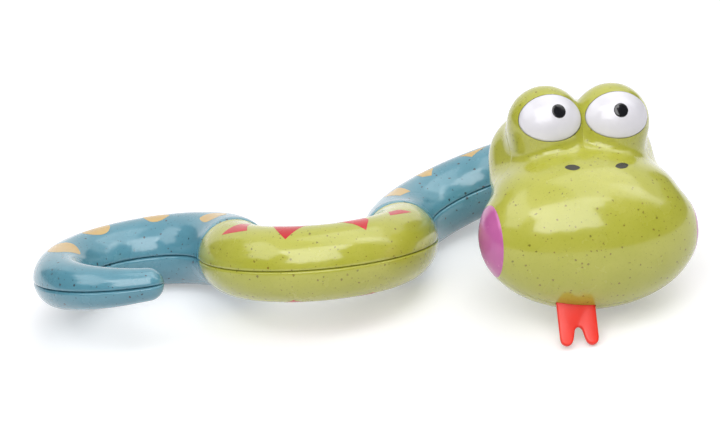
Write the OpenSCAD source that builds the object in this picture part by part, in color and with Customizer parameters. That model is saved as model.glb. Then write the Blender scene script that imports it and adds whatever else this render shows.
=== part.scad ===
// Swivelling snake: a head and three hollow tube segments, turning on click swivels.
// Every segment is two moulded half shells; all swivel axes run front to back (Y).

/* [Tube segments] */
// Outer radius of the middle segment
middle_r = 15.2; // [13:0.1:17]
// How far the tail and neck ends stand proud of the middle segment's ends
rim_step = 0.3; // [0:0.1:1]
// Wall of the half shells
wall = 2.4; // [1.8:0.2:3.4]
// Bend radius of the middle segment, at the tube's centre
middle_bend = 34; // [30:1:40]
// Bend radius of the tail
tail_bend = 35.5; // [33:0.5:42]
// Angle that the tail bends through
tail_turn = 266; // [220:1:275]
// Radius of the tube at the tail's tip
tail_tip_r = 6.6; // [5:0.1:9]
// How late the tail thins down: 1 is an even taper
tail_taper = 1.9; // [1:0.1:3]
// Bend radius of the neck
neck_bend = 36.1; // [33:0.1:42]
// Radius of the neck where it meets the head
neck_end_r = 12.8; // [12:0.2:15]
// How far the head's collar stands proud of the neck's end
collar_step = 0.4; // [0:0.1:1]
// Depth of the seam groove between half shells
groove_depth = 0.6; // [0.2:0.1:1]
// Height of the seam groove on each half shell
groove_height = 0.45; // [0.2:0.05:0.8]

/* [How it lies] */
// Turn of the tail about its swivel
tail_roll = 2; // [-30:1:30]
// Turn of the neck about its swivel
neck_roll = 18.6; // [-30:0.1:40]
// Turn of the head, counted from the middle segment
head_roll = -2.9; // [-30:0.1:30]
// Forward lean of the whole toy, as it rests on tail, neck and tongue
rest_pitch = 15.4; // [0:0.01:40]
// Lean of the whole toy to the left
rest_lean = 3.61; // [-10:0.01:20]
// From the tail swivel to the middle of the toy's outline, along X and Y
rest_shift = [-48.46, 17.14];
// Height of the tail swivel over the floor
rest_height = 23.14; // [10:0.01:50]

/* [Assembly posts] */
// Radius of the posts that the half shells close on
post_r = 2.6; // [2:0.1:3.5]
// Radius of a post's peg
peg_r = 1.3; // [0.8:0.1:1.8]
// Length of a peg
peg_h = 2.5; // [1:0.5:4]
// Clearance of a peg in its socket
peg_clearance = 0.1; // [0.05:0.05:0.3]
// Angles along the bends of tail, middle and neck where the posts stand
tail_post_angles = [50, 120, 190];
middle_post_angles = [50, 130];
neck_post_angles = [55, 125];
// Places of the head's posts in its parting, sideways and up from the parting's middle
head_posts = [[24, -17], [21, 6]];
// How deep a head post's end stays under the skin, at its nearest
head_post_cover = 1; // [0.6:0.1:2]

/* [Swivels] */
// Gap between two segments at a swivel
swivel_gap = 0.6; // [0.4:0.1:1.5]
// Thickness of the end walls that carry the swivels
end_wall = 3; // [2:0.5:4]
// Radius of the spindle's round journal
journal_r = 4.5; // [3.5:0.1:5]
// Running clearance of the journal in its bore
journal_clearance = 0.05; // [0.02:0.01:0.1]
// Radius of the spindle's flanges
flange_r = 6.8; // [6:0.1:7.4]
// Thickness of a flange
flange_t = 2.4; // [1.5:0.1:3]
// Play between a flange and its end wall
flange_play = 0.1; // [0.05:0.05:0.3]
// Number of clicks in a full turn
clicks = 24; // [12:1:36]
// Depth of a click notch
notch_depth = 0.6; // [0.3:0.1:1]
// Thickness of the click spring's strip
spring_t = 0.7; // [0.4:0.1:1]
// Clearance between the toothed flange and the click spring
spring_clearance = 0.25; // [0.1:0.05:0.5]
// Room outside the click spring for it to open up at a click
spring_room = 0.4; // [0.2:0.1:0.8]
// Angle of the click spring's opening
spring_gap_angle = 20; // [12:1:40]
// Wall of the ring that a click spring sits in
seat_wall = 1.2; // [0.8:0.1:1.6]
// Thickness of the rib that stands in the click spring's opening
rib_t = 1.4; // [0.8:0.1:2]
// Gap between the rib and the toothed flange
rib_gap = 0.35; // [0.2:0.05:0.6]
// Thickness of the bearing washer in each gap
washer_t = 0.4; // [0.2:0.1:0.8]
// Outer radius of the bearing washer
washer_r = 9; // [7:0.5:11]

/* [Head] */
// Half width, half depth and half height of the muzzle
muzzle_size = [43.35, 29.3, 29.5];
// Middle of the muzzle, from the neck swivel
muzzle_at = [0, -54.9, -19];
// Half width, half depth and half height of the back of the head
cranium_size = [32.15, 19.75, 22.8];
// Middle of the back of the head
cranium_at = [0, -19.75, 7.15];
// Radius of an eye bulge
eye_r = 15.15; // [12:0.05:17]
// Middle of the right-hand eye bulge
eye_at = [13.3, -38.3, 23.4];
// How softly the muzzle runs into the back of the head
head_blend = 10.9; // [4:0.1:13]
// How softly the eye bulges run into the head
eye_blend = 1.6; // [1:0.1:3]
// Wall of the head shells, measured from the middle of the head
head_wall = 3; // [2.4:0.1:4]
// Middle of the parting between front and back shell
parting_at = [0, -45, 0];
// Lean of the parting, its top to the back
parting_lean = 27; // [10:1:40]

/* [Face] */
// Half width and half height of an eye's white dome
dome_half = [12.5, 9.4];
// Upward look of the domes
dome_pitch = 18.4; // [0:0.1:30]
// Sideways look of both domes, positive to the right
dome_yaw = 3.2; // [-8:0.1:8]
// How far a dome stands proud of its bulge
dome_proud = 0.4; // [0.2:0.1:1]
// Thickness of a dome
dome_t = 2.4; // [1.5:0.1:3.5]
// Gap round a dome and round the tongue
face_clearance = 0.2; // [0.1:0.05:0.4]
// Radius of a pupil
pupil_r = 2.65; // [2:0.05:4]
// Depth of a pupil's seat in its dome
pupil_seat = 1; // [0.5:0.1:1.5]
// Clearance of a pupil in its seat
pupil_clearance = 0.05; // [0.02:0.01:0.1]
// How far a pupil stands proud of its dome
pupil_proud = 0.25; // [0.1:0.05:0.5]
// Sideways look of the left and the right pupil, positive to the right
pupil_yaw = [12.8, 4.6];
// Upward look of the left and the right pupil
pupil_pitch = [25.7, 22.8];
// Width of the tongue at its root
tongue_w = 15.3; // [10:0.1:20]
// Thickness of the tongue
tongue_t = 2.4; // [1.6:0.1:3]
// Length of the tongue outside the mouth
tongue_out = 17.1; // [10:0.1:22]
// Depth of the fork in the tongue
fork_depth = 7.3; // [4:0.1:10]
// Radius of the fork's two tips
tongue_tip_r = 2.35; // [1.5:0.05:3]
// Sideways place of the tongue in the mouth
tongue_x = -8.15; // [-12:0.05:12]

/* [Hidden] */

blue = "#4f93ad";
green = "#b9bf4e";
half_gap = swivel_gap / 2;
end_r = middle_r + rim_step;
spring_in_r = flange_r + spring_clearance;
seat_r = spring_in_r + spring_t + spring_room;
bore_r = journal_r + journal_clearance;
neck_swivel_x = 2 * middle_bend;
head_swivel_x = 2 * neck_bend;

// Steps round a half shell and along the bends, for the tapered shells
outer_steps = 14;
inner_steps = 8;
tail_steps = 40;
neck_steps = 28;
tip_steps = 5;
// Steps over the head, from the face's middle to the parting and round it
head_rings = 13;
head_inner_rings = 6;
head_spokes = 60;
fine = 96;

// Where things sit

module at_rest() {
    translate([rest_shift[0], rest_shift[1], rest_height])
        rotate([-rest_pitch, 0, 0]) rotate([0, rest_lean, 0]) children();
}

// A positive turn lifts the +X side
module roll(angle) {
    rotate([0, -angle, 0]) children();
}

module in_middle() {
    at_rest() children();
}

module in_tail() {
    at_rest() roll(tail_roll) children();
}

module in_neck() {
    at_rest() translate([neck_swivel_x, 0, 0]) roll(neck_roll) children();
}

module in_head() {
    at_rest() translate([neck_swivel_x, 0, 0]) roll(neck_roll)
        translate([head_swivel_x, 0, 0]) roll(head_roll - neck_roll) children();
}

// Half shells

// Half of the tube's section, wall only, with the groove's chamfer at both edges
module half_section(r) {
    difference() {
        circle(r, $fn = fine);
        circle(r - wall, $fn = fine);
        translate([-r - 1, -r - 1]) square([2 * r + 2, r + 1]);
        for (side = [0, 1]) mirror([side, 0])
            polygon([[r - groove_depth, -0.01], [r + 1, -0.01], [r + 1, 1],
                     [sqrt(r * r - groove_height * groove_height), groove_height]]);
    }
}

// Points over a half circle that starts and ends in the groove
function outer_half(r) = let(
    a = asin(min(groove_height / r, 0.4)),
    in_r = max(r - groove_depth, r / 2)) concat(
    [[in_r, 0]],
    [for (j = [0:outer_steps]) let(t = a + (180 - 2 * a) * j / outer_steps) [r * cos(t), r * sin(t)]],
    [[-in_r, 0]]);

function inner_half(r) = [for (j = [0:inner_steps]) let(t = 180 * j / inner_steps) [r * cos(t), r * sin(t)]];

// A station is the bend angle and the tube's radius there; the bend's centre is the origin
function placed(points, turn, bend) = [for (p = points)
    [(bend + p[0]) * cos(turn), (bend + p[0]) * sin(turn), p[1]]];

function grid_faces(first, rows, cols, flip) = [for (i = [0:rows - 2], j = [0:cols - 2])
    let(a = first + i * cols + j, b = a + 1, c = a + cols, d = c + 1)
    each flip ? [[a, c, b], [b, c, d]] : [[a, b, c], [b, d, c]]];

// An inner ring laid in the plane of an end wall, at either end of a half turn
function walled(r, bend, far) = [for (p = inner_half(r))
    let(x = sqrt(pow(bend + p[0], 2) - end_wall * end_wall))
    [far ? -x : x, end_wall, p[1]]];

// Upper half shell that follows a bend with a changing radius, closed by an end wall at its start.
// Its far end has a wall too, or is a solid tip beyond the station number hollow.
module bent_half_shell(stations, hollow, bend) {
    rows = len(stations);
    wall_at_end = hollow >= rows - 1;
    outer = [for (s = stations) placed(outer_half(s[1]), s[0], bend)];
    inner = concat(
        [walled(stations[0][1] - wall, bend, false)],
        [for (i = [2:wall_at_end ? rows - 3 : hollow])
            placed(inner_half(stations[i][1] - wall), stations[i][0], bend)],
        wall_at_end ? [walled(stations[rows - 1][1] - wall, bend, true)] : []);
    cols = outer_steps + 3;
    in_cols = inner_steps + 1;
    in_rows = len(inner);
    base = rows * cols;
    last = (rows - 1) * cols;
    in_last = base + (in_rows - 1) * in_cols;
    // Inner ring k sits beside station k + 1; the seam face is cut into pieces between them
    function rim(i) = i * cols;
    function far_rim(i) = i * cols + cols - 1;
    function lip(k) = base + k * in_cols;
    function far_lip(k) = base + k * in_cols + in_cols - 1;
    seam = concat(
        [[rim(0), lip(0), far_lip(0), far_rim(0)],
         [rim(0), rim(1), lip(0)], [far_rim(0), far_lip(0), far_rim(1)]],
        [for (k = [0:in_rows - 2]) each [
            [rim(k + 1), rim(k + 2), lip(k + 1), lip(k)],
            [far_rim(k + 1), far_lip(k), far_lip(k + 1), far_rim(k + 2)]]],
        wall_at_end
            ? [[rim(in_rows), rim(rows - 1), lip(in_rows - 1)],
               [rim(rows - 1), far_rim(rows - 1), far_lip(in_rows - 1), lip(in_rows - 1)],
               [far_rim(rows - 1), far_rim(in_rows), far_lip(in_rows - 1)]]
            : [concat([for (i = [in_rows:rows - 1]) rim(i)], [for (i = [rows - 1:-1:in_rows]) far_rim(i)],
                      [far_lip(in_rows - 1), lip(in_rows - 1)])]);
    ends = [
        [for (j = [cols - 1:-1:0]) j],
        [for (j = [0:cols - 1]) last + j],
        [for (j = [0:in_cols - 1]) base + j],
        [for (j = [in_cols - 1:-1:0]) in_last + j]];
    polyhedron([for (ring = concat(outer, inner)) each ring], concat(
        grid_faces(0, rows, cols, false),
        grid_faces(base, in_rows, in_cols, true),
        seam, ends), convexity = 8);
}

// Keeps the half above the seam of something drawn round the swivel's axis, outer face at y = 0
module upper_slice(h, r) {
    rotate([-90, 0, 0]) linear_extrude(h) difference() {
        children();
        translate([-r, 0]) square([2 * r, r]);
    }
}

// Half of an end wall, fused into the shell's wall
module half_end_wall(r) {
    upper_slice(end_wall, r) circle(r - wall * 2 / 3, $fn = fine);
}

// Half of the ring that a click spring sits in, on the inside of an end wall.
// The rib, turned to meet the spring's gap, keeps it from going round.
module spring_seat(turn, rib) {
    embed = 1;
    h = embed + flange_play + flange_t;
    translate([0, end_wall - embed, 0]) {
        upper_slice(h, seat_r + 2) difference() {
            circle(seat_r + seat_wall, $fn = fine);
            circle(seat_r, $fn = fine);
        }
        if (rib) roll(turn) translate([-rib_t / 2, 0, flange_r + rib_gap])
            cube([rib_t, h, seat_r + seat_wall / 2 - flange_r - rib_gap]);
    }
}

// Post from the seam into the shell's wall, and the peg or socket on its seam end
module post(h, peg) {
    difference() {
        union() {
            cylinder(r = post_r, h = h, $fn = 48);
            if (peg) translate([0, 0, -peg_h]) cylinder(r = peg_r, h = peg_h + 1, $fn = 48);
        }
        if (!peg) translate([0, 0, -1])
            cylinder(r = peg_r + peg_clearance, h = peg_h + peg_clearance + 1, $fn = 48);
    }
}

// Bore for the round journal, or six-sided seat for its keyed end, through an end wall
module journal_bore() {
    rotate([-90, 0, 0]) translate([0, 0, -1]) cylinder(r = bore_r, h = end_wall + 2, $fn = fine);
}

module key_bore() {
    rotate([-90, 0, 0]) translate([0, 0, -1]) cylinder(r = bore_r, h = end_wall + 2, $fn = 6);
}

function tail_radius(share) = end_r + (tail_tip_r - end_r) * pow(share, tail_taper);

tail_stations = concat(
    [for (i = [0:tail_steps]) [tail_turn * i / tail_steps, tail_radius(i / tail_steps)]],
    [for (k = [1:tip_steps]) let(b = 80 * k / tip_steps)
        [tail_turn + tail_tip_r * sin(b) / tail_bend * 180 / PI, tail_tip_r * cos(b)]]);

// The neck's stations start at the head
function neck_radius(share) = neck_end_r + (end_r - neck_end_r) * share;

neck_stations = [for (i = [0:neck_steps]) [180 * i / neck_steps, neck_radius(i / neck_steps)]];

// In the tail's frame the swivel is at the origin and the tail starts towards +Y
module tail_half(upper) {
    difference() {
        translate([-tail_bend, half_gap, 0]) {
            bent_half_shell(tail_stations, tail_steps, tail_bend);
            for (turn = tail_post_angles) rotate(turn) translate([tail_bend, 0, 0])
                post(tail_radius(turn / tail_turn) - wall / 2, !upper);
        }
        translate([0, half_gap, 0]) key_bore();
    }
}

module neck_half(upper) {
    difference() {
        union() {
            translate([neck_bend, half_gap, 0]) {
                bent_half_shell(neck_stations, neck_steps, neck_bend);
                for (turn = neck_post_angles) rotate(turn) translate([neck_bend, 0, 0])
                    post(neck_radius(turn / 180) - wall / 2, !upper);
            }
            translate([head_swivel_x, half_gap, 0]) spring_seat(head_roll - neck_roll, upper);
        }
        translate([0, half_gap, 0]) key_bore();
        translate([head_swivel_x, half_gap, 0]) journal_bore();
    }
}

module middle_half(upper) {
    difference() {
        union() {
            translate([middle_bend, -half_gap, 0]) rotate([0, 0, 180]) {
                rotate_extrude(angle = 180, $fn = fine) translate([middle_bend, 0]) half_section(middle_r);
                for (turn = middle_post_angles) rotate(turn) translate([middle_bend, 0, 0])
                    post(middle_r - wall / 2, !upper);
            }
            translate([0, -half_gap, 0]) mirror([0, 1, 0]) {
                half_end_wall(middle_r);
                spring_seat(tail_roll, upper);
            }
            translate([neck_swivel_x, -half_gap, 0]) mirror([0, 1, 0]) {
                half_end_wall(middle_r);
                spring_seat(neck_roll, upper);
            }
        }
        for (x = [0, neck_swivel_x]) translate([x, -half_gap, 0]) mirror([0, 1, 0]) journal_bore();
    }
}

module lower() {
    mirror([0, 0, 1]) children();
}

module tail_upper_shell() { color(blue) in_tail() tail_half(true); }
module tail_lower_shell() { color(blue) in_tail() lower() tail_half(false); }
module middle_upper_shell() { color(green) in_middle() middle_half(true); }
module middle_lower_shell() { color(green) in_middle() lower() middle_half(false); }
module neck_upper_shell() { color(blue) in_neck() neck_half(true); }
module neck_lower_shell() { color(blue) in_neck() lower() neck_half(false); }

// Click swivels

// Distance from the swivel plane to a flange's inner face
flange_y = half_gap + end_wall + flange_play;
nub_r = 0.9;

// Keyed end towards +Y, toothed end towards -Y
module spindle() {
    rotate([90, 0, 0]) {
        translate([0, 0, -half_gap]) cylinder(r = journal_r, h = flange_y + half_gap, $fn = fine);
        translate([0, 0, -flange_y]) cylinder(r = journal_r, h = flange_y, $fn = 6);
        translate([0, 0, -flange_y - flange_t]) cylinder(r = flange_r, h = flange_t, $fn = fine);
        translate([0, 0, flange_y]) difference() {
            cylinder(r = flange_r, h = flange_t, $fn = fine);
            for (i = [0:clicks - 1]) rotate(360 / clicks * (i + 0.5))
                translate([flange_r + nub_r - notch_depth, 0, -1])
                    cylinder(r = nub_r, h = flange_t + 2, $fn = 24);
        }
    }
}

// Open ring round the toothed flange, with a nub that drops into its notches
module click_spring() {
    rotate([90, 0, 0]) translate([0, 0, flange_y]) {
        rotate(90 + spring_gap_angle / 2) rotate_extrude(angle = 360 - spring_gap_angle, $fn = fine)
            translate([spring_in_r, 0]) square([spring_t, flange_t]);
        intersection() {
            rotate(360 / clicks * 0.5) translate([flange_r + nub_r - notch_depth + spring_clearance, 0, 0])
                cylinder(r = nub_r - 0.1, h = flange_t, $fn = 24);
            cylinder(r = spring_in_r + spring_t / 2, h = flange_t, $fn = fine);
        }
    }
}

module washer() {
    rotate([90, 0, 0]) translate([0, 0, -washer_t / 2]) difference() {
        cylinder(r = washer_r, h = washer_t, $fn = fine);
        translate([0, 0, -1]) cylinder(r = bore_r, h = washer_t + 2, $fn = fine);
    }
}

module tail_spindle() { color("ivory") in_tail() spindle(); }
module neck_spindle() { color("ivory") in_neck() spindle(); }
module head_spindle() { color("ivory") in_head() mirror([0, 1, 0]) spindle(); }
module tail_click_spring() { color("whitesmoke") in_middle() roll(tail_roll) click_spring(); }
module neck_click_spring() { color("whitesmoke") in_neck() click_spring(); }
module head_click_spring() {
    color("whitesmoke") in_head() mirror([0, 1, 0]) click_spring();
}
module tail_washer() { color("white") in_middle() washer(); }
module neck_washer() { color("white") in_middle() translate([neck_swivel_x, 0, 0]) washer(); }
module head_washer() { color("white") in_neck() translate([head_swivel_x, 0, 0]) washer(); }

// Head shells

// Distance from p to an ellipsoid, close to true near its surface
function egg(p, at, size) = let(
    q = [for (i = [0:2]) (p[i] - at[i]) / size[i]],
    s = [for (i = [0:2]) q[i] / size[i]])
    norm(q) * (norm(q) - 1) / norm(s);

// Smooth least of two distances
function soft_min(a, b, k) = let(m = min(a, b)) m - k * ln(exp((m - a) / k) + exp((m - b) / k));

// Distance from p to the head's skin: muzzle and cranium in one, then the eye bulges
function skin(p) = soft_min(
    soft_min(egg(p, muzzle_at, muzzle_size), egg(p, cranium_at, cranium_size), head_blend),
    min(norm(p - eye_at), norm(p - [-eye_at[0], eye_at[1], eye_at[2]])) - eye_r, eye_blend);

// Length along a direction from a point inside the head to the skin, by halving steps
function reach(dir, from = parting_at, low = 0, high = 80, left = 18) = left == 0 ? (low + high) / 2 :
    let(mid = (low + high) / 2)
    skin(from + mid * dir) < 0 ? reach(dir, from, mid, high, left - 1) : reach(dir, from, low, mid, left - 1);

// Direction at an angle off the face's middle and a turn round it, in the parting's frame
function ray(off, turn) = let(
    side = sin(off) * cos(turn), along = cos(off), up = sin(off) * sin(turn),
    c = cos(parting_lean), s = sin(parting_lean))
    [side, -along * c + up * s, along * s + up * c];

// Half of the head's skin: front from 0 to 90 degrees off the face's middle, back from 180 to 90
module head_half(front) {
    far = [for (i = [1:head_rings], j = [0:head_spokes - 1])
        let(off = 90 * i / head_rings, dir = ray(front ? off : 180 - off, 360 * j / head_spokes))
        parting_at + reach(dir) * dir];
    near = [for (i = [1:head_inner_rings], j = [0:head_spokes - 1])
        let(off = 90 * i / head_inner_rings, dir = ray(front ? off : 180 - off, 360 * j / head_spokes))
        parting_at + (reach(dir) - head_wall) * dir];
    pole = ray(front ? 0 : 180, 0);
    n = head_spokes;
    base = 1 + head_rings * n;
    function ring_faces(first, i, flip) = [for (j = [0:n - 1])
        let(a = first + i * n + j, b = first + i * n + (j + 1) % n, c = a + n, d = b + n)
        each flip ? [[a, b, c], [b, d, c]] : [[a, c, b], [b, c, d]]];
    function fan(centre, first, flip) = [for (j = [0:n - 1])
        let(a = first + j, b = first + (j + 1) % n) flip ? [centre, b, a] : [centre, a, b]];
    polyhedron(
        concat([parting_at + reach(pole) * pole], far,
               [parting_at + (reach(pole) - head_wall) * pole], near),
        concat(
            fan(0, 1, front),
            [for (i = [0:head_rings - 2]) each ring_faces(1, i, front)],
            fan(base, base + 1, !front),
            [for (i = [0:head_inner_rings - 2]) each ring_faces(base + 1, i, !front)],
            [for (j = [0:n - 1]) let(
                last = 1 + (head_rings - 1) * n, in_last = base + 1 + (head_inner_rings - 1) * n,
                a = last + j, b = last + (j + 1) % n, c = in_last + j, d = in_last + (j + 1) % n)
                each front ? [[a, b, c], [b, d, c]] : [[a, c, b], [b, c, d]]]),
        convexity = 8);
}

// A point of the parting's plane, sideways and up from its middle
function in_parting(x, up) = parting_at + [x, up * sin(parting_lean), up * cos(parting_lean)];

// The longest post there whose end stays under the skin all round
function head_post_h(at, dir) = min([for (k = [0:7])
    reach(dir, in_parting(at[0] + post_r * cos(45 * k), at[1] + post_r * sin(45 * k)))]) - head_post_cover;

module head_post_row(front) {
    for (side = [-1, 1], at = head_posts)
        translate(in_parting(side * at[0], at[1])) rotate([90 - parting_lean, 0, 0])
            mirror([0, 0, front ? 0 : 1])
                post(head_post_h([side * at[0], at[1]], ray(front ? 0 : 180, 0)), !front);
}

// Where a dome's outline starts, out from the bulge's middle
dome_root = 4;

// A dome's outline, carried out of the bulge's middle along its look
module dome_prism(side, grow, from) {
    translate([side * eye_at[0], eye_at[1], eye_at[2]])
        rotate([0, 0, dome_yaw]) rotate([90 - dome_pitch, 0, 0])
        translate([0, 0, from]) linear_extrude(eye_r + 4 - from)
            scale([dome_half[0] + grow, dome_half[1] + grow]) circle(1, $fn = 48);
}

// The pupil's round seat, along its own look
module pupil_drill(side, r) {
    k = side < 0 ? 0 : 1;
    translate([side * eye_at[0], eye_at[1], eye_at[2]])
        rotate([0, 0, pupil_yaw[k]]) rotate([90 - pupil_pitch[k], 0, 0])
        cylinder(r = r, h = eye_r + 4, $fn = 48);
}

module eye_ball(side, r) {
    translate([side * eye_at[0], eye_at[1], eye_at[2]])
        rotate([0, 0, dome_yaw]) rotate([90 - dome_pitch, 0, 0]) rotate([0, 90, 0]) sphere(r, $fn = fine);
}

module eye_dome(side) {
    difference() {
        intersection() {
            eye_ball(side, eye_r + dome_proud);
            dome_prism(side, 0, dome_root);
        }
        eye_ball(side, eye_r + dome_proud - dome_t);
        difference() {
            pupil_drill(side, pupil_r + pupil_clearance);
            eye_ball(side, eye_r + dome_proud - pupil_seat);
        }
    }
}

module pupil(side) {
    difference() {
        intersection() {
            eye_ball(side, eye_r + dome_proud + pupil_proud);
            pupil_drill(side, pupil_r);
        }
        eye_ball(side, eye_r + dome_proud - pupil_seat);
    }
}

// Frame of the tongue: its root at the mouth, X across, Y down the tongue, Z forward
tongue_root = -49;

module in_tongue() {
    translate(parting_at) rotate([90 - parting_lean, 0, 0]) translate([tongue_x, 0, 0]) children();
}

module tongue_outline() {
    half = tongue_w / 2;
    tip_r = tongue_tip_r;
    low = tongue_root - tongue_out;
    union() {
        translate([-half, low + fork_depth]) square([tongue_w, tongue_out - fork_depth + 8]);
        for (side = [-1, 1]) hull() {
            translate([side * (half - tip_r), low + tip_r]) circle(tip_r, $fn = 32);
            translate([side * (half / 2 + 0.3) - half / 2 + 0.3, low + fork_depth]) square([half - 0.6, 1]);
        }
        translate([-half - 3, tongue_root + 5]) square([tongue_w + 6, 3]);
    }
}

module tongue_body(grow) {
    in_tongue() translate([0, 0, -tongue_t / 2 - grow]) linear_extrude(tongue_t + 2 * grow)
        children();
}

module tongue_slot() {
    half = tongue_w / 2 + face_clearance;
    tongue_body(face_clearance) translate([-half, tongue_root - 10]) square([2 * half, 15]);
}

module head_front_shell() {
    color(green) in_head() difference() {
        union() {
            head_half(true);
            head_post_row(true);
        }
        for (side = [-1, 1]) dome_prism(side, face_clearance, dome_root);
        tongue_slot();
    }
}

// Collar that carries the head on its swivel, a step wider than the neck's end
collar_depth = 13;
collar_r = neck_end_r + collar_step;

module head_back_shell() {
    color(green) in_head() difference() {
        union() {
            head_half(false);
            head_post_row(false);
            translate([0, -half_gap, 0]) rotate([90, 0, 0])
                cylinder(r = collar_r, h = collar_depth, $fn = fine);
        }
        translate([0, -half_gap - end_wall, 0]) rotate([90, 0, 0])
            cylinder(r = collar_r - wall, h = collar_depth + 10, $fn = fine);
        translate([0, -half_gap, 0]) mirror([0, 1, 0]) key_bore();
        translate([-50, -half_gap, -50]) cube(100);
        tongue_slot();
    }
}

module left_eye() { color("#e2e2ea") in_head() eye_dome(-1); }
module right_eye() { color("#e2e2ea") in_head() eye_dome(1); }
module left_pupil() { color("#151518") in_head() pupil(-1); }
module right_pupil() { color("#151518") in_head() pupil(1); }
module tongue() { color("#ef4632") in_head() tongue_body(0) tongue_outline(); }

tail_upper_shell();
tail_lower_shell();
middle_upper_shell();
middle_lower_shell();
neck_upper_shell();
neck_lower_shell();
head_front_shell();
head_back_shell();
left_eye();
right_eye();
left_pupil();
right_pupil();
tongue();
tail_spindle();
neck_spindle();
head_spindle();
tail_click_spring();
neck_click_spring();
head_click_spring();
tail_washer();
neck_washer();
head_washer();
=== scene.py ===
import math

import bpy
import numpy as np
from mathutils import Euler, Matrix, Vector


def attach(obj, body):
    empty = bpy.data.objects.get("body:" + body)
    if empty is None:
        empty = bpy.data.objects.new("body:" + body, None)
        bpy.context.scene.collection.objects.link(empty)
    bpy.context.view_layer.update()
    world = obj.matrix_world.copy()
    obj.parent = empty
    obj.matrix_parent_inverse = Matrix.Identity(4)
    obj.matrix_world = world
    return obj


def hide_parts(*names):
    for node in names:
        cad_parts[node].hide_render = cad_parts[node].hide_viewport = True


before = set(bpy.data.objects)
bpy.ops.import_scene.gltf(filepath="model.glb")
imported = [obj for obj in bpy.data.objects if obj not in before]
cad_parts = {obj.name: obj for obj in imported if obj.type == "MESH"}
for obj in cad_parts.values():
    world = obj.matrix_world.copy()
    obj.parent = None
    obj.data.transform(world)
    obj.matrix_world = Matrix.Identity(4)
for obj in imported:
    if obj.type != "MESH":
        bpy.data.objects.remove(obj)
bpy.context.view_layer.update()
print("frame loaded:", len(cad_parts), "nodes")

# Lengths of the toy are millimetres in each segment's own frame, angles are degrees
mm = 0.001

chain = {
    "pitch": 15.4,  # forward lean of the resting toy
    "lean": 3.61,  # lean to the left
    "shift": (-48.46, 17.14, 23.14),  # tail swivel, from the middle of the outline
    "tailRoll": 2.0,  # each segment's turn about its swivel at rest
    "neckRoll": 18.6,
    "headRoll": -2.9,
    "middleBend": 34.0,  # bend radius of the centreline
    "neckBend": 36.1,
    "halfGap": 0.3,  # half of the gap at a swivel
    "inset": 0.08,  # skins drawn this far inside the solids
}


def turnX(angle):
    # Rotation about x by degrees: y and z mix by the angle's cosine and sine
    c, s = math.cos(math.radians(angle)), math.sin(math.radians(angle))
    return np.array([[1, 0, 0], [0, c, -s], [0, s, c]])


def turnY(angle):
    # The same about y, where z and x mix
    c, s = math.cos(math.radians(angle)), math.sin(math.radians(angle))
    return np.array([[c, 0, s], [0, 1, 0], [-s, 0, c]])


def turnZ(angle):
    # The same about z, where x and y mix
    c, s = math.cos(math.radians(angle)), math.sin(math.radians(angle))
    return np.array([[c, -s, 0], [s, c, 0], [0, 0, 1]])


# Each segment's frame is a rotation and the place of its swivel, built up along the chain
restTurn = turnX(-chain["pitch"]) @ turnY(chain["lean"])
tailAt = np.array(chain["shift"])
neckAt = restTurn @ np.array([2 * chain["middleBend"], 0, 0]) + tailAt
neckTurn = restTurn @ turnY(-chain["neckRoll"])
headAt = neckTurn @ np.array([2 * chain["neckBend"], 0, 0]) + neckAt
segmentFrames = {
    "middle": (restTurn, tailAt),
    "tail": (restTurn @ turnY(-chain["tailRoll"]), tailAt),
    "neck": (neckTurn, neckAt),
    "head": (restTurn @ turnY(-chain["headRoll"]), headAt),
}


def toPart(points, segment):
    # Points in a segment's frame, turned and moved to the whole toy's place, in metres
    turn, at = segmentFrames[segment]
    return (np.asarray(points) @ turn.T + at) * mm


# Meshes

shadeAngle = {"shell": 35, "small": 50, "print": 60}  # edges sharper than this stay sharp


def makePiece(name, points, faces, segment, material, slotName, nodes=(),
              sharpAngle=shadeAngle["shell"]):
    # Points and faces in the segment's frame become a smooth piece that rides on it
    mesh = bpy.data.meshes.new(name)
    mesh.from_pydata(toPart(points, segment).tolist(), [], [list(map(int, face)) for face in faces])
    mesh.validate()
    mesh.polygons.foreach_set("use_smooth", np.ones(len(mesh.polygons), dtype=bool))
    mesh.set_sharp_from_angle(angle=math.radians(sharpAngle))
    mesh.materials.append(material)
    piece = bpy.data.objects.new(name, mesh)
    bpy.context.scene.collection.objects.link(piece)
    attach(piece, segment)
    if nodes:
        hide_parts(*nodes)
    return piece


def loopFaces(rows, columns, first=0, flip=False):
    # Quads between neighbouring closed rings of a grid
    i, j = np.meshgrid(np.arange(rows - 1), np.arange(columns), indexing="ij")
    a = first + i * columns + j
    b = first + i * columns + (j + 1) % columns
    quads = np.stack([a, b, b + columns, a + columns], -1).reshape(-1, 4)
    return quads[:, ::-1].tolist() if flip else quads.tolist()


def poleFaces(pole, first, columns, flip=False):
    # Triangles from one point to a closed ring
    a = first + np.arange(columns)
    b = first + (np.arange(columns) + 1) % columns
    fan = np.stack([np.full(columns, pole), a, b], -1)
    return fan[:, ::-1].tolist() if flip else fan.tolist()


# Tube segments

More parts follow.
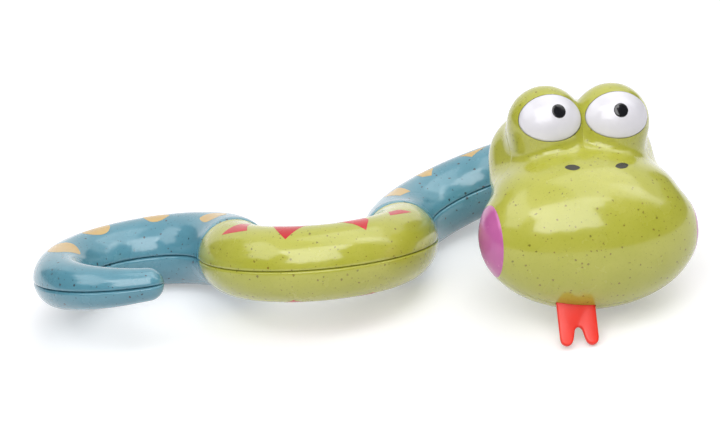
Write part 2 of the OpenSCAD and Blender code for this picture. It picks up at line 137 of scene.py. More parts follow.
tubes = {
    "middleRadius": 15.2,
    "endRadius": 15.5,  # where tail and neck meet the middle segment
    "tailBend": 35.5,  # bend radius of the tail's centreline
    "tailTurn": 266.0,  # how far round the tail curls
    "tailTipRadius": 6.6,
    "tailTaper": 1.9,  # the higher, the later the tail gets thin
    "neckEndRadius": 12.8,
    "wall": 2.4,
    "endWall": 3.0,
    "bore": 4.7,
    "tipHollow": 0.4,  # inner radius of the tip's dome, as a share of the outer
    "seamLift": 0.02,  # half of the gap between two half shells
    "grooveShare": 0.3,  # a groove is no larger than this share of the tube's radius
    "grooveDepth": {"tail": 1.8, "middle": 1.4, "neck": 1.5, "head": 0.4},
    "grooveHeight": {"tail": 1.05, "middle": 0.8, "neck": 0.8, "head": 0.24},  # on each half
    "rimRound": 0.5,  # rounding where two segments meet
    "step": 1.25,  # degrees of bend between rings
    "sideSteps": 56,  # steps over half of the section
    "edgeSteps": 6,  # rings or points in a rounded edge
    "tipSteps": 14,
    "tipAngle": 87.0,  # the dome's last ring, just short of its pole
}
bendRadius = {"tail": tubes["tailBend"], "neck": chain["neckBend"], "middle": chain["middleBend"]}


def tubeRadius(segment, turn):
    # Even in the middle segment, a straight taper along the neck, and a late one along the tail: the
    # end's radius plus the change in radius times the share of the bend to a power
    share = np.clip(turn / tubes["tailTurn"], 0, 1)
    radius = np.full_like(turn, tubes["middleRadius"], dtype=float)
    if segment == "tail":
        change = tubes["tailTipRadius"] - tubes["endRadius"]
        radius = tubes["endRadius"] + change * share ** tubes["tailTaper"]
    if segment == "neck":
        change = tubes["endRadius"] - tubes["neckEndRadius"]
        radius = tubes["neckEndRadius"] + change * turn / 180
    return radius - chain["inset"]


def alongBend(segment, turn, out, height):
    # A point out from the tube's centreline and height above the seam, carried round the bend's centre:
    # bend radius plus out, times the cosine and sine of the bend angle
    turn, out, height = np.broadcast_arrays(np.radians(turn), out, height)
    gap, bend = chain["halfGap"], bendRadius[segment]
    across, along = (bend + out) * np.cos(turn), (bend + out) * np.sin(turn)
    if segment == "tail":
        return np.stack([across - bend, along + gap, height], -1)
    if segment == "neck":
        return np.stack([across + bend, along + gap, height], -1)
    return np.stack([bend - across, -along - gap, height], -1)


def tubeStations(segment):
    # Bend angle, outer radius and inner radius of every ring. Rims are rounded by a quarter circle, the
    # end walls close in to the bore, and the tail ends in a dome. An inner radius of -1 stands for the
    # outer radius less the wall.
    full = tubes["tailTurn"] if segment == "tail" else 180.0
    perMm = math.degrees(1 / bendRadius[segment])
    quarter = np.radians(np.linspace(0, 90, tubes["edgeSteps"]))
    rimTurn = tubes["rimRound"] * (1 - np.cos(quarter)) * perMm
    rimDrop = tubes["rimRound"] * (1 - np.sin(quarter))
    wallTurn = tubes["endWall"] * perMm
    body = np.arange(wallTurn + tubes["step"], full - wallTurn, tubes["step"])
    start = np.concatenate([rimTurn, [wallTurn, wallTurn]])
    startInner = np.array([tubes["bore"]] * (tubes["edgeSteps"] + 1) + [-1])
    startDrop = np.concatenate([rimDrop, [0, 0]])
    rim, dome = len(start), tubes["tipSteps"]
    if segment == "tail":
        cap = np.radians(np.linspace(0, tubes["tipAngle"], dome))
        tip = tubes["tailTipRadius"]
        turn = np.concatenate([start, body, full + tip * np.sin(cap) * perMm])
        outer = tubeRadius(segment, np.minimum(turn, full))
        outer[-dome:] = tip * np.cos(cap)
        outer[:rim] -= startDrop
        inner = np.concatenate([startInner, np.full(len(body), -1.0), outer[-dome:] * tubes["tipHollow"]])
    else:
        turn = np.concatenate([start, body, full - start[::-1]])
        outer = tubeRadius(segment, turn)
        outer[:rim] -= startDrop
        outer[-rim:] -= startDrop[::-1]
        inner = np.concatenate([startInner, np.full(len(body), -1.0), startInner[::-1]])
    inner = np.where(inner < 0, outer - tubes["wall"], inner)
    return turn, outer, inner


def makeHalfTube(segment, upper, material, slotName):
    # Section loop: a quarter ellipse from the seam to the skin as the groove's edge, a half circle of the
    # outer radius, the other groove edge, and a half circle of the inner radius back. The loop is carried
    # along the bend with the radii of tubeStations.
    turn, outer, inner = tubeStations(segment)
    turn, outer, inner = turn[:, None], outer[:, None], inner[:, None]
    depth = np.minimum(tubes["grooveDepth"][segment], outer * tubes["grooveShare"])
    height = np.minimum(tubes["grooveHeight"][segment], outer * tubes["grooveShare"])
    edge = np.radians(np.linspace(90, 0, tubes["edgeSteps"]))[None, :-1]
    seamLift = tubes["seamLift"]
    startAngle = np.arcsin(height / outer)
    swing = np.linspace(0, 1, tubes["sideSteps"] + 1)[None, :]
    angle = startAngle + (math.pi - 2 * startAngle) * swing
    edgeOut = outer * np.cos(startAngle) - depth + depth * np.cos(edge)
    edgeHeight = seamLift + (height - seamLift) * (1 - np.sin(edge))
    back = np.linspace(math.pi, 0, tubes["sideSteps"] // 2 + 1)[None, :]
    out = np.concatenate([edgeOut, outer * np.cos(angle), -edgeOut[:, ::-1], inner * np.cos(back)], 1)
    rise = np.concatenate([edgeHeight, outer * np.sin(angle), edgeHeight[:, ::-1],
                           np.maximum(inner * np.sin(back), seamLift)], 1)
    if not upper:
        rise = -rise
    points = alongBend(segment, turn, out, rise)
    rows, columns = out.shape
    faces = loopFaces(rows, columns, flip=upper)
    first = list(range(columns))
    last = [(rows - 1) * columns + j for j in range(columns)]
    faces += [first, last[::-1]] if upper else [first[::-1], last]
    half = "upper" if upper else "lower"
    return makePiece(f"{segment}{half.title()}Shell", points.reshape(-1, 3), faces, segment, material,
                     slotName, [f"{segment}_{half}_shell"])


# Head

head = {
    "muzzleSize": (43.35, 26.63, 29.23),
    "muzzleAt": (0.0, -55.57, -19.23),
    "craniumSize": (31.25, 19.75, 19.22),
    "craniumAt": (0.0, -19.75, 10.62),
    "eyeRadius": 15.15,
    "eyeAt": (13.3, -38.3, 23.4),
    "blend": 10.58,  # how softly each form runs into the next
    "waistSize": (29.7, 22.5, 7.2),
    "waistAt": (0.0, -33.0, -3.4),
    "waistBlend": 22.0,
    "eyeBlend": 11.5,
    "wall": 3.0,
    "partingAt": (0.0, -45.0, 0.0),  # middle of the plane where the two shells meet
    "partingLean": 27.0,
    "rings": 120,
    "spokes": 300,
    "innerRings": 24,
    "searchReach": (5.0, 80.0),  # the skin is looked for between these distances
    "halvings": 30,
    "collarRadius": 13.2,
    "collarInner": 10.8,
    "collarDepth": 13.3,
    "collarSteps": 120,
}


def eggDistance(p, at, size):
    # Near enough the distance to an ellipsoid: the scaled point's length, times that length less one, over
    # the length of the point scaled twice
    q = (p - np.array(at)) / np.array(size)
    near = np.linalg.norm(q, axis=-1)
    return near * (near - 1) / np.linalg.norm(q / np.array(size), axis=-1)


def softMin(a, b, k):
    # The lesser distance, rounded off: minus k times the logarithm of the sum of exp(-a/k) and exp(-b/k)
    least = np.minimum(a, b)
    return least - k * np.log(np.exp((least - a) / k) + np.exp((least - b) / k))


def filletMin(a, b, reach):
    # The lesser distance, less a cubic that fills the crease where the two are within reach: the reach over
    # six, times the cube of the share of it that is left
    near = np.maximum(reach - np.abs(a - b), 0) / reach
    return np.minimum(a, b) - near**3 * reach / 6


def headDistance(p):
    # Muzzle and back of the head are two ellipsoids run together softly. A third fills the waist between
    # them, and the two eye bulges join with a fillet.
    x, y, z = head["eyeAt"]
    face = softMin(eggDistance(p, head["muzzleAt"], head["muzzleSize"]),
                   eggDistance(p, head["craniumAt"], head["craniumSize"]), head["blend"])
    face = filletMin(face, eggDistance(p, head["waistAt"], head["waistSize"]), head["waistBlend"])
    bulges = np.minimum(np.linalg.norm(p - np.array([x, y, z]), axis=-1),
                        np.linalg.norm(p - np.array([-x, y, z]), axis=-1)) - head["eyeRadius"]
    return filletMin(face, bulges, head["eyeBlend"])


def headReach(direction, start=None):
    # Distance to the skin along each direction from the parting's middle, or from a start: the half of the
    # span that holds the skin is kept, again and again
    centre = np.array(head["partingAt"]) if start is None else start
    low, high = (np.full(direction.shape[:-1], reach) for reach in head["searchReach"])
    for _ in range(head["halvings"]):
        middle = (low + high) / 2
        inside = headDistance(centre + middle[..., None] * direction) < 0
        low, high = np.where(inside, middle, low), np.where(inside, high, middle)
    return (low + high) / 2 - chain["inset"]


def partingRay(off, turn):
    # Direction at an angle off the face's middle and a turn round it: sines and cosines of the two, leaned
    # back with the parting
    c, s = math.cos(math.radians(head["partingLean"])), math.sin(math.radians(head["partingLean"]))
    off, turn = np.radians(off), np.radians(turn)
    side, along, up = np.sin(off) * np.cos(turn), np.cos(off) + 0 * turn, np.sin(off) * np.sin(turn)
    return np.stack([side, -along * c + up * s, along * s + up * c], -1)


def makeHeadShell(front, material):
    # Rings from the pole to the parting, a quarter ellipse into the seam groove, then the inner skin back.
    # A point is the parting's middle plus its ray times the skin's distance, less the wall for the inside.
    turn = np.linspace(0, 360, head["spokes"], endpoint=False)[None, :]
    pole = 0.0 if front else 180.0
    sense = 1.0 if front else -1.0
    centre = np.array(head["partingAt"])
    rimReach = headReach(partingRay(np.full_like(turn, 90.0), turn))
    share = np.linspace(0, 1, head["rings"] + 1)[1:, None]
    depth, height = tubes["grooveDepth"]["head"], tubes["grooveHeight"]["head"]
    lastOff = 90 - np.degrees(height / rimReach)
    off = share * lastOff
    ray = partingRay(pole + sense * off, turn + 0 * off)
    skin = centre + headReach(ray)[..., None] * ray
    edge = np.radians(np.linspace(0, 90, tubes["edgeSteps"]))[1:, None]
    edgeOff = 90 - np.degrees((height * (1 - np.sin(edge)) + tubes["seamLift"]) / rimReach)
    edgeRay = partingRay(pole + sense * edgeOff, turn + 0 * edgeOff)
    edgeReach = headReach(edgeRay) - depth * (1 - np.cos(edge))
    groove = centre + edgeReach[..., None] * edgeRay
    innerOff = np.linspace(1, 0, head["innerRings"], endpoint=False)[:, None] * edgeOff[-1:]
    innerRay = partingRay(pole + sense * innerOff, turn + 0 * innerOff)
    inner = centre + (headReach(innerRay) - head["wall"])[..., None] * innerRay
    rings = np.concatenate([skin, groove, inner], 0)
    poleRay = partingRay(np.array([pole]), np.array([0.0]))
    poleReach = headReach(poleRay)
    tips = np.concatenate([centre + poleReach[:, None] * poleRay,
                           centre + (poleReach - head["wall"])[:, None] * poleRay])
    points = np.concatenate([tips, rings.reshape(-1, 3)])
    points[:, 1] = np.minimum(points[:, 1], -chain["halfGap"])
    rows, columns = rings.shape[:2]
    faces = poleFaces(0, 2, columns, flip=not front)
    faces += loopFaces(rows, columns, first=2, flip=front)
    faces += poleFaces(1, 2 + (rows - 1) * columns, columns, flip=front)
    side = "front" if front else "back"
    return makePiece(f"head{side.title()}Shell", points, faces, "head", material, "green_shell",
                     [f"head_{side}_shell"])


def revolveY(profile, steps):
    # A closed profile of radius and y, turned about the swivel's axis: radius times the cosine and sine
    turn = np.linspace(0, 2 * math.pi, steps, endpoint=False)[:, None]
    radius, y = np.array(profile).T[:, None, :]
    return np.stack([radius * np.cos(turn), y + 0 * turn, radius * np.sin(turn)], -1)


def makeHeadCollar(material):
    # The round collar that the neck turns on: outer wall with a rounded rim, end wall with its bore
    rim = tubes["rimRound"]
    radius, inner, near = head["collarRadius"], head["collarInner"], -chain["halfGap"]
    quarter = np.radians(np.linspace(0, 90, tubes["edgeSteps"]))
    profile = [(tubes["bore"], near)]
    profile += [(radius - rim + rim * math.sin(q), near - rim + rim * math.cos(q)) for q in quarter]
    profile += [(radius, -head["collarDepth"]), (inner, -head["collarDepth"]),
                (inner, near - tubes["endWall"]), (tubes["bore"], near - tubes["endWall"])]
    points = revolveY(profile, head["collarSteps"])
    rows, columns = points.shape[:2]
    faces = np.array(loopFaces(rows + 1, columns, flip=True)) % (rows * columns)
    return makePiece("headCollar", points.reshape(-1, 3), faces, "head", material, "green_shell",
                     ["head_back_shell"])


def lookFrame(pitch, yaw):
    # Columns are across, up and outwards for something that looks forward at this pitch and yaw: a turn
    # about x, then one about z
    return turnZ(yaw) @ turnX(90 - pitch)


eyes = {
    "domeHalf": (12.5, 9.4),  # half width and half height
    "domePitch": 18.4,  # the domes look up by this
    "domeYaw": 3.2,
    "proud": 0.4,  # the dome's surface stands this far off the bulge
    "thickness": 2.4,
    "gap": 0.2,
    "pocket": (4.0, 19.0),  # the pocket's cutter, from and to along the look
    "edgeRound": 0.45,
    "pupilRadius": 2.95,
    "pupilProud": 0.65,
    "pupilYaw": {-1: 12.8, 1: 4.6},
    "pupilPitch": {-1: 25.7, 1: 22.8},
    "pupilThickness": 1.2,
    "leastSide": 0.6,  # least height of the straight side
    "spokes": 96,
    "topRings": 25,
    "rimRings": 7,
    "underRings": 10,
}


def eyeMiddle(side):
    # The bulge's middle, its x taken to the left or the right side
    return np.array(head["eyeAt"]) * np.array([side, 1, 1])


def makeLens(name, side, half, pitch, yaw, ballRadius, thickness, material, slotName, node):
    # A cap of a ball with an elliptical outline: the top follows the ball, the rim is a quarter circle,
    # the side drops straight and the underside follows a smaller ball. Height on a ball is the root of
    # its radius squared less x and y squared.
    turn = np.linspace(0, 2 * math.pi, eyes["spokes"], endpoint=False)[None, :]
    a, b = half
    rim = eyes["edgeRound"]
    quarter = np.radians(np.linspace(90, 0, eyes["rimRings"]))[:, None]
    share = np.linspace(0, 1, eyes["topRings"] + 1)[1:, None]

    def ball(x, y, radius):
        return np.sqrt(np.maximum(radius**2 - x**2 - y**2, 1.0))

    topX, topY = share * (a - rim) * np.cos(turn), share * (b - rim) * np.sin(turn)
    topZ = ball(topX, topY, ballRadius)
    inset = rim * (1 - np.cos(quarter))
    rimX, rimY = (a - inset) * np.cos(turn), (b - inset) * np.sin(turn)
    rimZ = ball(rimX, rimY, ballRadius) - rim * (1 - np.sin(quarter))
    underShare = np.linspace(1, 0, eyes["underRings"], endpoint=False)[:, None]
    underX, underY = underShare * a * np.cos(turn), underShare * b * np.sin(turn)
    underZ = np.minimum(ball(underX, underY, ballRadius - thickness), rimZ[-1:] - eyes["leastSide"])
    rings = np.concatenate([np.stack([topX, topY, topZ], -1), np.stack([rimX, rimY, rimZ], -1)[1:],
                            np.stack([underX, underY, underZ], -1)], 0)
    rows, columns = rings.shape[:2]
    poles = [[0, 0, ballRadius], [0, 0, ballRadius - thickness]]
    points = np.concatenate([poles, rings.reshape(-1, 3)])
    points = points @ lookFrame(pitch, yaw).T + eyeMiddle(side)
    faces = poleFaces(0, 2, columns) + loopFaces(rows, columns, first=2, flip=True)
    faces += poleFaces(1, 2 + (rows - 1) * columns, columns, flip=True)
    return makePiece(name, points, faces, "head", material, slotName, [node],
                     sharpAngle=shadeAngle["small"])


def cutAway(piece, cutters):
    # Takes the closed cutters out of a piece and keeps the result as its mesh
    for cutter in cutters:
        cut = piece.modifiers.new("cut", "BOOLEAN")
        cut.object = cutter
        cut.operation = "DIFFERENCE"
        cut.solver = "MANIFOLD"
    graph = bpy.context.evaluated_depsgraph_get()
    cleaned = bpy.data.meshes.new_from_object(piece.evaluated_get(graph))
    piece.modifiers.clear()
    old = piece.data
    piece.data = cleaned
    bpy.data.meshes.remove(old)
    cleaned.polygons.foreach_set("use_smooth", np.ones(len(cleaned.polygons), dtype=bool))
    cleaned.set_sharp_from_angle(angle=math.radians(shadeAngle["shell"]))


def makeCutter(name, outline, low, high, turn, at):
    # A closed prism over an outline, from low to high along its own third axis
    count = len(outline)
    ends = [np.column_stack([outline, np.full(count, z)]) for z in (low, high)]
    points = toPart(np.concatenate(ends) @ turn.T + np.array(at), "head")
    faces = loopFaces(2, count) + [list(range(count))[::-1], list(range(count, 2 * count))]
    mesh = bpy.data.meshes.new(name)
    mesh.from_pydata(points.tolist(), [], faces)
    cutter = bpy.data.objects.new(name, mesh)
    bpy.context.scene.collection.objects.link(cutter)
    return cutter


tongue = {
    "x": -8.15,  # off the head's middle
    "root": -49.0,
    "width": 15.3,
    "out": 17.1,  # from the root to the tips
    "thickness": 2.4,
    "edgeRound": 0.75,
    "outlinePoints": 216,
    # Left half of the outline from the root to the fork, in from the side and up from the tips
    "side": [(-2.6, 25), (-2.6, 23), (-0.1, 21.5), (0, 17), (0, 11), (0, 5), (0.05, 2.7), (0.75, 0.85),
             (2.55, 0), (4.35, 0.75), (5.25, 2.5)],
    # The fork's notch, off the middle and up from the tips
    "notch": [(-1.85, 4.7), (-1.3, 6.5)],
    "notchTop": 7.4,
    "slot": (-59.0, -44.0),  # the slot in the shells, from and to
}


def smoothLoop(corners, count):
    # A closed curve through the corners: each point is the sum of the four corners round it times cubics in
    # the share of the way from one corner to the next, so that the curve runs on smoothly at each
    corners = np.array(corners, dtype=float)
    n = len(corners)
    t = np.linspace(0, n, count, endpoint=False)
    i = np.floor(t).astype(int)
    f = (t - i)[:, None]
    p0, p1, p2, p3 = (corners[(i + k) % n] for k in (-1, 0, 1, 2))
    return 0.5 * (2 * p1 + (p2 - p0) * f + (2 * p0 - 5 * p1 + 4 * p2 - p3) * f**2
                  + (3 * p1 - p0 - 3 * p2 + p3) * f**3)


def insetLoop(loop, amount):
    # Each point moved inwards, square to the line between its two neighbours
    along = np.roll(loop, -1, 0) - np.roll(loop, 1, 0)
    along /= np.linalg.norm(along, axis=1)[:, None]
    return loop + amount * np.column_stack([-along[:, 1], along[:, 0]])


def makeTongue(material):
    # The forked outline, drawn in across the thickness by a quarter circle at both faces
    half, low = tongue["width"] / 2, tongue["root"] - tongue["out"]
    left = [(-half + x, low + y) for x, y in tongue["side"]] + [(x, low + y) for x, y in tongue["notch"]]
    right = [(-x, y) for x, y in left[::-1]]
    loop = smoothLoop(left + [(0.0, low + tongue["notchTop"])] + right, tongue["outlinePoints"])
    quarter = np.radians(np.linspace(0, 90, tubes["edgeSteps"]))
    inset = tongue["edgeRound"] * (1 - np.sin(quarter))
    drop = tongue["edgeRound"] * (1 - np.cos(quarter))
    flat = tongue["thickness"] / 2
    levels = [*zip(inset, drop - flat), *zip(inset[::-1], flat - drop[::-1])]
    rings = np.array([np.column_stack([insetLoop(loop, amount), np.full(len(loop), height)])
                      for amount, height in levels])
    rings[..., 0] += tongue["x"]
    rows, columns = rings.shape[:2]
    points = rings.reshape(-1, 3) @ turnX(90 - head["partingLean"]).T + np.array(head["partingAt"])
    faces = loopFaces(rows, columns)
    faces += [list(range(columns))[::-1], [(rows - 1) * columns + j for j in range(columns)]]
    return makePiece("forkedTongue", points, faces, "head", material, "tongue_red", ["tongue"],
                     sharpAngle=shadeAngle["small"])


# Prints: thin coats of paint that lie on the skin

prints = {
    "lift": 0.04,  # top above the skin
    "sink": 0.25,  # underside below the skin
    "rings": 12,
    "roundPoints": 96,  # points round a curved outline
    "sidePoints": 14,  # points along each side of a straight one
}


def oval(a, b):
    # Points round an ellipse: half width times the cosine, half height times the sine
    turn = np.linspace(0, 2 * math.pi, prints["roundPoints"], endpoint=False)
    return np.column_stack([a * np.cos(turn), b * np.sin(turn)])


def makePatch(name, outline, place, segment, material, slotName):
    # Rings at even shares of the way from the outline's middle to the outline, a lift above the skin, and
    # the same rings back a sink below it
    outline = np.array(outline)
    centre = outline.mean(0)
    share = np.linspace(0, 1, prints["rings"] + 1)[1:, None, None]
    top = centre + share * (outline - centre)
    rings = np.concatenate([place(top[..., 0], top[..., 1], prints["lift"]),
                            place(top[::-1, :, 0], top[::-1, :, 1], -prints["sink"])], 0)
    middle = place(np.full(2, centre[0]), np.full(2, centre[1]),
                   np.array([prints["lift"], -prints["sink"]]))
    rows, columns = rings.shape[:2]
    points = np.concatenate([middle, rings.reshape(-1, 3)])
    faces = poleFaces(0, 2, columns) + loopFaces(rows, columns, first=2, flip=True)
    faces += poleFaces(1, 2 + (rows - 1) * columns, columns, flip=True)
    return makePiece(name, points, faces, segment, material, slotName, sharpAngle=shadeAngle["print"])


def onTube(segment, turn, side, lift):
    # Skin point at a bend angle and an angle round the section: 0 is the outer seam and 90 the top
    radius = tubeRadius(segment, np.asarray(turn, dtype=float)) + lift
    side = np.radians(side)
    return alongBend(segment, turn, radius * np.cos(side), radius * np.sin(side))


def onHead(middle, across, up, outward):
    # Skin point straight outwards from a flat target inside the head: the middle plus u across and v up,
    # plus the outward direction times the distance to the skin
    middle, across, up, outward = (np.array(v, dtype=float) for v in (middle, across, up, outward))

    def place(u, v, lift):
        start = middle + u[..., None] * across + v[..., None] * up
        ray = outward + 0 * start
        return start + (headReach(ray, start) + lift)[..., None] * ray

    return place


# Materials


def newMaterial(name):
    # A material, its nodes, its shader and the coordinates that stay with the piece
    material = bpy.data.materials.new(name)
    material.use_nodes = True
    tree = material.node_tree
    place = tree.nodes.new("ShaderNodeTexCoord")
    return material, tree, tree.nodes["Principled BSDF"], place.outputs["Object"]


def addNode(tree, kind, inputs=None, **settings):
    # One node: an input is linked when it is another node's output, and set when it is a value
    node = tree.nodes.new(kind)
    for key, value in settings.items():
        setattr(node, key, value)
    for key, value in (inputs or {}).items():
        if isinstance(value, bpy.types.NodeSocket):
            tree.links.new(value, node.inputs[key])
        else:
            node.inputs[key].default_value = value
    return node


def noise(tree, place, scale, detail, roughness=0.5):
    # Fractal noise from 0 to 1, its scale in bumps per metre
    node = addNode(tree, "ShaderNodeTexNoise", {"Vector": place, "Scale": scale, "Detail": detail,
                                                "Roughness": roughness})
    return node.outputs["Fac"]


def mixColours(tree, amount, first, second):
    # The first colour plus the amount times the difference to the second. The node's sockets 6 and 7 are
    # its colours.
    return addNode(tree, "ShaderNodeMix", {0: amount, 6: first, 7: second}, data_type="RGBA").outputs[2]


def smoothStep(tree, value, band, ends=(0.0, 1.0)):
    # From one end to the other while the value crosses the band, by 3t squared less 2t cubed
    node = addNode(tree, "ShaderNodeMapRange", {"Value": value, "From Min": band[0], "From Max": band[1],
                                                "To Min": ends[0], "To Max": ends[1]},
                   interpolation_type="SMOOTHSTEP")
    return node.outputs["Result"]


def calc(tree, operation, first, second=0.0):
    # One sum on two numbers
    return addNode(tree, "ShaderNodeMath", {0: first, 1: second}, operation=operation).outputs[0]


def vectorCalc(tree, operation, first, second):
    # One sum on two vectors
    return addNode(tree, "ShaderNodeVectorMath", {0: first, 1: second}, operation=operation).outputs[0]


specks = {
    "wobbleSize": 1.3,  # size of the bumps on a speck's outline, times the biggest speck
    "wobbleReach": 2.0,  # how far they move it, times the biggest speck
    "edge": (-0.02, 0.03),  # a speck fades out over this, in cells
    "seedShift": (0.37, 0.11, 0.53),  # the pattern moves on by this for each seed
}


def fleckMask(tree, place, cell, biggest, chance, seed):
    # Cells of a cell pattern keep a small irregular spot: it shows where the distance to the cell's point
    # is less than the cell's first random number times the biggest size, in cells that its second number
    # keeps. Its third number picks the tint.
    wobble = addNode(tree, "ShaderNodeTexNoise", {"Vector": place, "Detail": 2.0, "Roughness": 0.6,
                                                  "Scale": 1.0 / (biggest * mm * specks["wobbleSize"])})
    centred = vectorCalc(tree, "SUBTRACT", wobble.outputs["Color"], (0.5, 0.5, 0.5))
    scaled = addNode(tree, "ShaderNodeVectorMath", {0: centred,
                                                    "Scale": biggest * mm * specks["wobbleReach"]},
                     operation="SCALE")
    moved = vectorCalc(tree, "ADD", place, scaled.outputs[0])
    shifted = vectorCalc(tree, "ADD", moved, tuple(seed * shift for shift in specks["seedShift"]))
    cells = addNode(tree, "ShaderNodeTexVoronoi", {"Vector": shifted, "Scale": 1.0 / (cell * mm)},
                    feature="F1")
    draw = addNode(tree, "ShaderNodeSeparateColor", {"Color": cells.outputs["Color"]}).outputs
    size = calc(tree, "MULTIPLY", draw["Red"], biggest / cell)
    kept = calc(tree, "LESS_THAN", draw["Green"], chance)
    spot = smoothStep(tree, calc(tree, "SUBTRACT", size, cells.outputs["Distance"]), specks["edge"])
    return calc(tree, "MULTIPLY", spot, kept), draw["Blue"]


def finishSkin(tree, shader, height, strength, depth, coat, coatRough):
    # Bumps of the height's share of a depth in metres, and a clear coat over them
    bump = addNode(tree, "ShaderNodeBump", {"Height": height, "Strength": strength, "Distance": depth})
    tree.links.new(bump.outputs["Normal"], shader.inputs["Normal"])
    shader.inputs["Coat Weight"].default_value = coat
    shader.inputs["Coat Roughness"].default_value = coatRough


shellLook = {
    "drift": 55.0,  # noise scales, in bumps per metre
    "grain": 900.0,
    "smear": 70.0,
    "wave": 90.0,
    "fine": 1400.0,
    "driftBand": (0.35, 0.68),  # the noise's span over which each change happens
    "grainBand": (0.5, 0.75),
    "smearBand": (0.35, 0.7),
    "grainShare": 0.28,
    "fineShare": 0.02,
    "gloss": (0.17, 0.3),  # roughness at the smoothest and at the most rubbed spots
    "ior": 1.5,
    "bump": 0.22,
    "bumpDepth": 0.0006,  # metres
    "coat": 0.5,
    "coatRough": 0.085,
}


def makeFleckedPlastic(name, base, pale, deep, flecks):
    # Moulded plastic with plant fibre in it: a slow drift between two colours, a fine grain of a third,
    # sparse dark flecks in three sizes, and a glossy skin whose height is a slow wave plus a little grain
    look = shellLook
    material, tree, shader, place = newMaterial(name)
    drift = smoothStep(tree, noise(tree, place, look["drift"], 4.0, 0.55), look["driftBand"])
    grain = smoothStep(tree, noise(tree, place, look["grain"], 3.0, 0.6), look["grainBand"],
                       (0.0, look["grainShare"]))
    colour = mixColours(tree, grain, mixColours(tree, drift, base, pale), deep)
    for cell, biggest, chance, seed, strength, tints in flecks:
        mask, tint = fleckMask(tree, place, cell, biggest, chance, seed)
        spotColour = mixColours(tree, tint, *tints)
        colour = mixColours(tree, calc(tree, "MULTIPLY", mask, strength), colour, spotColour)
    tree.links.new(colour, shader.inputs["Base Color"])
    rough = smoothStep(tree, noise(tree, place, look["smear"], 5.0, 0.6), look["smearBand"], look["gloss"])
    tree.links.new(rough, shader.inputs["Roughness"])
    fine = calc(tree, "MULTIPLY", noise(tree, place, look["fine"], 2.0), look["fineShare"])
    height = calc(tree, "ADD", noise(tree, place, look["wave"], 3.0), fine)
    finishSkin(tree, shader, height, look["bump"], look["bumpDepth"], look["coat"], look["coatRough"])
    shader.inputs["IOR"].default_value = look["ior"]
    return material


plainLook = {
    "drift": 60.0,  # noise scales, in bumps per metre
    "rub": 138.0,
    "fine": 1100.0,
    "band": (0.35, 0.7),  # the noise's span over which colour and gloss change
    "bumpDepth": 0.0001,  # metres
    "coatRough": 0.06,
}


def makePlainPlastic(name, base, deep, gloss, bumpStrength, coat=0.0):
    # Unflecked plastic or print: a little drift in colour and gloss, and a faint moulded grain
    look = plainLook
    material, tree, shader, place = newMaterial(name)
    drift = smoothStep(tree, noise(tree, place, look["drift"], 4.0, 0.6), look["band"])
    tree.links.new(mixColours(tree, drift, base, deep), shader.inputs["Base Color"])
    rough = smoothStep(tree, noise(tree, place, look["rub"], 5.0), look["band"], gloss)
    tree.links.new(rough, shader.inputs["Roughness"])
    finishSkin(tree, shader, noise(tree, place, look["fine"], 2.0), bumpStrength, look["bumpDepth"], coat,
               look["coatRough"])
    return material


def rgb(red, green, blue):
    # A screen colour of 0 to 255 as linear light: its share over 12.92 when dark, else the share plus
    # 0.055, over 1.055, to the power 2.4
    shares = (c / 255 for c in (red, green, blue))
    return tuple(c / 12.92 if c <= 0.04045 else ((c + 0.055) / 1.055) ** 2.4 for c in shares) + (1.0,)


# Cell and biggest speck in mm, share of cells kept, seed, strength, and two tints between which each picks
brownFlecks = [
    (2.3, 0.54, 0.62, 1.0, 0.7, (rgb(86, 78, 12), rgb(118, 76, 26))),
    (1.5, 0.34, 0.6, 2.0, 0.6, (rgb(100, 94, 20), rgb(122, 88, 30))),
    (1.0, 0.2, 0.6, 5.0, 0.5, (rgb(112, 108, 28), rgb(122, 98, 36))),
]
blueFlecks = [
    (2.6, 0.62, 0.62, 3.0, 0.85, (rgb(36, 50, 58), rgb(78, 58, 60))),
    (1.7, 0.34, 0.55, 4.0, 0.65, (rgb(40, 76, 92), rgb(72, 68, 76))),
    (1.1, 0.16, 0.5, 6.0, 0.4, (rgb(48, 92, 110), rgb(74, 88, 100))),
]
greenPlastic = makeFleckedPlastic("greenFleckedPlastic", rgb(177, 178, 62), rgb(184, 184, 74),
                                  rgb(158, 160, 52), brownFlecks)
bluePlastic = makeFleckedPlastic("blueFleckedPlastic", rgb(86, 142, 160), rgb(94, 150, 168),
                                 rgb(74, 128, 146), blueFlecks)
eyeWhite = makePlainPlastic("eyeWhitePlastic", rgb(227, 225, 231), rgb(220, 218, 225), (0.16, 0.26), 0.04,
                            0.1)
pupilBlack = makePlainPlastic("pupilBlackPlastic", rgb(22, 22, 26), rgb(30, 30, 36), (0.1, 0.2), 0.05, 0.3)
tongueRed = makePlainPlastic("tongueRedPlastic", rgb(245, 52, 34), rgb(236, 44, 30), (0.28, 0.4), 0.1)
cheekPink = makePlainPlastic("cheekPinkPrint", rgb(201, 106, 168), rgb(192, 98, 160), (0.16, 0.28), 0.08, 0.2)
nostrilDark = makePlainPlastic("nostrilDarkPrint", rgb(46, 46, 34), rgb(56, 54, 40), (0.25, 0.35), 0.08)
redPrint = makePlainPlastic("redTrianglePrint", rgb(205, 24, 36), rgb(195, 20, 32), (0.16, 0.28), 0.08, 0.2)
yellowPrint = makePlainPlastic("yellowPrint", rgb(211, 178, 116), rgb(203, 169, 106), (0.16, 0.28), 0.08, 0.2)
swivelPlastic = makePlainPlastic("swivelPlastic", rgb(228, 224, 208), rgb(216, 212, 196), (0.4, 0.5), 0.15)
springPlastic = makePlainPlastic("springPlastic", rgb(236, 236, 236), rgb(224, 224, 226), (0.35, 0.45), 0.12)
washerPlastic = makePlainPlastic("washerPlastic", rgb(240, 240, 240), rgb(230, 230, 232), (0.3, 0.4), 0.12)
print("materials made")

# Pieces

